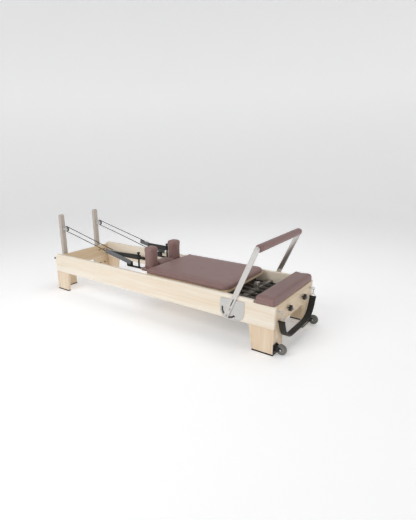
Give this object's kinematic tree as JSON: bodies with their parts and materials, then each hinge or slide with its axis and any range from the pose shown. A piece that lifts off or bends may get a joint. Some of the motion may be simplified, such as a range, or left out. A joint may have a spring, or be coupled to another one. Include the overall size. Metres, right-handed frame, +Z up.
{
  "type": "pilates reformer",
  "caption": "Wooden pilates reformer: a padded carriage on springs that rolls between rails, a swinging footbar, riser posts with rope pulleys, and a foot strap.",
  "frame": {"origin": "on the floor, at the middle of the overall length and width", "axes": "+X to the foot end, +Z up, -Y the near side"},
  "size_m": [2.56, 0.74, 0.7595],
  "materials": {
    "maple": "satin lacquer",
    "maple_end_board": "satin lacquer",
    "vinyl": "soft satin vinyl",
    "rubber": "matte",
    "taupe_post": "satin paint",
    "rope": "braided",
    "webbing": "woven",
    "steel": "brushed",
    "black_aluminium": "black anodised",
    "grey_plastic": "moulded",
    "black_plastic": "moulded",
    "black_metal": "powder coat"
  },
  "bodies": {
    "frame": {"near_side_rail": "maple", "far_side_rail": "maple", "head_board": "maple_end_board", "foot_board": "maple_end_board", "legs": "maple", "foot_pads": "rubber", "tracks": "black_aluminium", "cross_rail": "maple_end_board", "foot_platform": "maple_end_board", "foot_platform_pad": "vinyl", "spring_bar": "steel", "carriage_stop": "steel", "head_fittings": "black_metal", "near_quadrant_plate": "steel", "far_quadrant_plate": "steel", "quadrant_screws": "steel", "pivot_pins": "steel", "riser_sockets": "black_metal", "near_riser_post": "taupe_post", "far_riser_post": "taupe_post", "pulley_blocks": "steel", "strap_eyes": "steel", "caster_brackets": "black_metal", "near_rope": "rope", "far_rope": "rope", "springs": "steel"},
    "footbar": {"near_footbar_arm": "steel", "far_footbar_arm": "steel", "footbar_tube": "steel", "footbar_grip": "vinyl", "footbar_bolts": "steel", "latch_pins": "steel"},
    "carriage": {"carriage_deck": "maple_end_board", "carriage_pad": "vinyl", "wheel_brackets": "black_metal", "spring_anchor": "steel", "strap_pegs": "black_metal", "rope_cleats": "black_metal", "near_double_loop": "webbing", "far_double_loop": "webbing"},
    "headrest": {"headrest": "vinyl"},
    "near_shoulder_block": {"near_shoulder_block": "vinyl"},
    "far_shoulder_block": {"far_shoulder_block": "vinyl"},
    "head_load_wheels": {"head_load_wheels": "grey_plastic"},
    "foot_load_wheels": {"foot_load_wheels": "grey_plastic"},
    "near_head_roller": {"near_head_roller": "grey_plastic"},
    "far_head_roller": {"far_head_roller": "grey_plastic"},
    "near_foot_roller": {"near_foot_roller": "grey_plastic"},
    "far_foot_roller": {"far_foot_roller": "grey_plastic"},
    "near_snap_hook": {"near_snap_hook": "steel"},
    "far_snap_hook": {"far_snap_hook": "steel"},
    "foot_strap": {"foot_strap": "webbing"},
    "near_riser_knob": {"near_riser_knob": "black_plastic"},
    "far_riser_knob": {"far_riser_knob": "black_plastic"},
    "near_star_knob": {"near_star_knob": "black_plastic"},
    "far_star_knob": {"far_star_knob": "black_plastic"},
    "near_caster": {"near_caster": "grey_plastic"},
    "far_caster": {"far_caster": "grey_plastic"},
    "near_sheave": {"near_sheave": "grey_plastic"},
    "far_sheave": {"far_sheave": "grey_plastic"}
  },
  "joints": [
    {"name": "carriage_slide", "type": "slide", "parent": "frame", "child": "carriage", "axis": [-1, 0, 0], "range_m": [0, 0.75], "deforming": ["near_rope", "far_rope", "springs", "near_double_loop", "far_double_loop"]},
    {"name": "head_load_wheel_spin", "type": "hinge", "parent": "carriage", "child": "head_load_wheels", "pos_m": [0.108, 0, 0.297], "axis": [0, -1, 0], "continuous": true},
    {"name": "foot_load_wheel_spin", "type": "hinge", "parent": "carriage", "child": "foot_load_wheels", "pos_m": [0.708, 0, 0.297], "axis": [0, -1, 0], "continuous": true},
    {"name": "near_head_roller_spin", "type": "hinge", "parent": "carriage", "child": "near_head_roller", "pos_m": [0.198, -0.3067, 0.329], "axis": [0, 0, 1], "continuous": true},
    {"name": "far_head_roller_spin", "type": "hinge", "parent": "carriage", "child": "far_head_roller", "pos_m": [0.198, 0.3067, 0.329], "axis": [0, 0, -1], "continuous": true},
    {"name": "near_foot_roller_spin", "type": "hinge", "parent": "carriage", "child": "near_foot_roller", "pos_m": [0.618, -0.3067, 0.329], "axis": [0, 0, 1], "continuous": true},
    {"name": "far_foot_roller_spin", "type": "hinge", "parent": "carriage", "child": "far_foot_roller", "pos_m": [0.618, 0.3067, 0.329], "axis": [0, 0, -1], "continuous": true},
    {"name": "headrest_tilt", "type": "hinge", "parent": "carriage", "child": "headrest", "pos_m": [0, 0, 0.412], "axis": [0, 1, 0], "range_deg": [0, 35]},
    {"name": "near_shoulder_lift", "type": "slide", "parent": "carriage", "child": "near_shoulder_block", "axis": [0, 0, 1], "range_m": [0, 0.12]},
    {"name": "far_shoulder_lift", "type": "slide", "parent": "carriage", "child": "far_shoulder_block", "axis": [0, 0, 1], "range_m": [0, 0.12]},
    {"name": "footbar_swing", "type": "hinge", "parent": "frame", "child": "footbar", "pos_m": [0.857, 0, 0.262], "axis": [0, 1, 0], "range_deg": [-60, 45]},
    {"name": "near_hook_slide", "type": "slide", "parent": "frame", "child": "near_snap_hook", "axis": [-1, 0, 0], "range_m": [0, 0.525]},
    {"name": "near_sheave_spin", "type": "hinge", "parent": "frame", "child": "near_sheave", "pos_m": [-1.15, -0.217, 0.61], "axis": [0, 1, 0], "continuous": true},
    {"name": "near_riser_knob_turn", "type": "hinge", "parent": "frame", "child": "near_riser_knob", "pos_m": [-1.265, -0.217, 0.29], "axis": [1, 0, 0], "continuous": true},
    {"name": "near_star_knob_turn", "type": "hinge", "parent": "frame", "child": "near_star_knob", "pos_m": [1.22, -0.132, 0.284], "axis": [1, 0, 0], "continuous": true},
    {"name": "near_caster_spin", "type": "hinge", "parent": "frame", "child": "near_caster", "pos_m": [1.242, -0.303, 0.044], "axis": [0, 1, 0], "continuous": true},
    {"name": "far_hook_slide", "type": "slide", "parent": "frame", "child": "far_snap_hook", "axis": [-1, 0, 0], "range_m": [0, 0.525]},
    {"name": "far_sheave_spin", "type": "hinge", "parent": "frame", "child": "far_sheave", "pos_m": [-1.15, 0.217, 0.61], "axis": [0, 1, 0], "continuous": true},
    {"name": "far_riser_knob_turn", "type": "hinge", "parent": "frame", "child": "far_riser_knob", "pos_m": [-1.265, 0.217, 0.29], "axis": [1, 0, 0], "continuous": true},
    {"name": "far_star_knob_turn", "type": "hinge", "parent": "frame", "child": "far_star_knob", "pos_m": [1.22, 0.132, 0.284], "axis": [1, 0, 0], "continuous": true},
    {"name": "far_caster_spin", "type": "hinge", "parent": "frame", "child": "far_caster", "pos_m": [1.242, 0.303, 0.044], "axis": [0, 1, 0], "continuous": true},
    {"name": "foot_strap_swing", "type": "hinge", "parent": "frame", "child": "foot_strap", "pos_m": [1.228, 0, 0.308], "axis": [0, -1, 0], "range_deg": [0, 90]}
  ],
  "couplings": [
    {"joint": "head_load_wheel_spin", "follows": "carriage_slide", "rad_per_m": 45.455},
    {"joint": "foot_load_wheel_spin", "follows": "carriage_slide", "rad_per_m": 45.455},
    {"joint": "near_head_roller_spin", "follows": "carriage_slide", "rad_per_m": 66.667},
    {"joint": "far_head_roller_spin", "follows": "carriage_slide", "rad_per_m": 66.667},
    {"joint": "near_foot_roller_spin", "follows": "carriage_slide", "rad_per_m": 66.667},
    {"joint": "far_foot_roller_spin", "follows": "carriage_slide", "rad_per_m": 66.667},
    {"joint": "near_hook_slide", "follows": "carriage_slide", "ratio": 0.7},
    {"joint": "far_hook_slide", "follows": "carriage_slide", "ratio": 0.7}
  ]
}
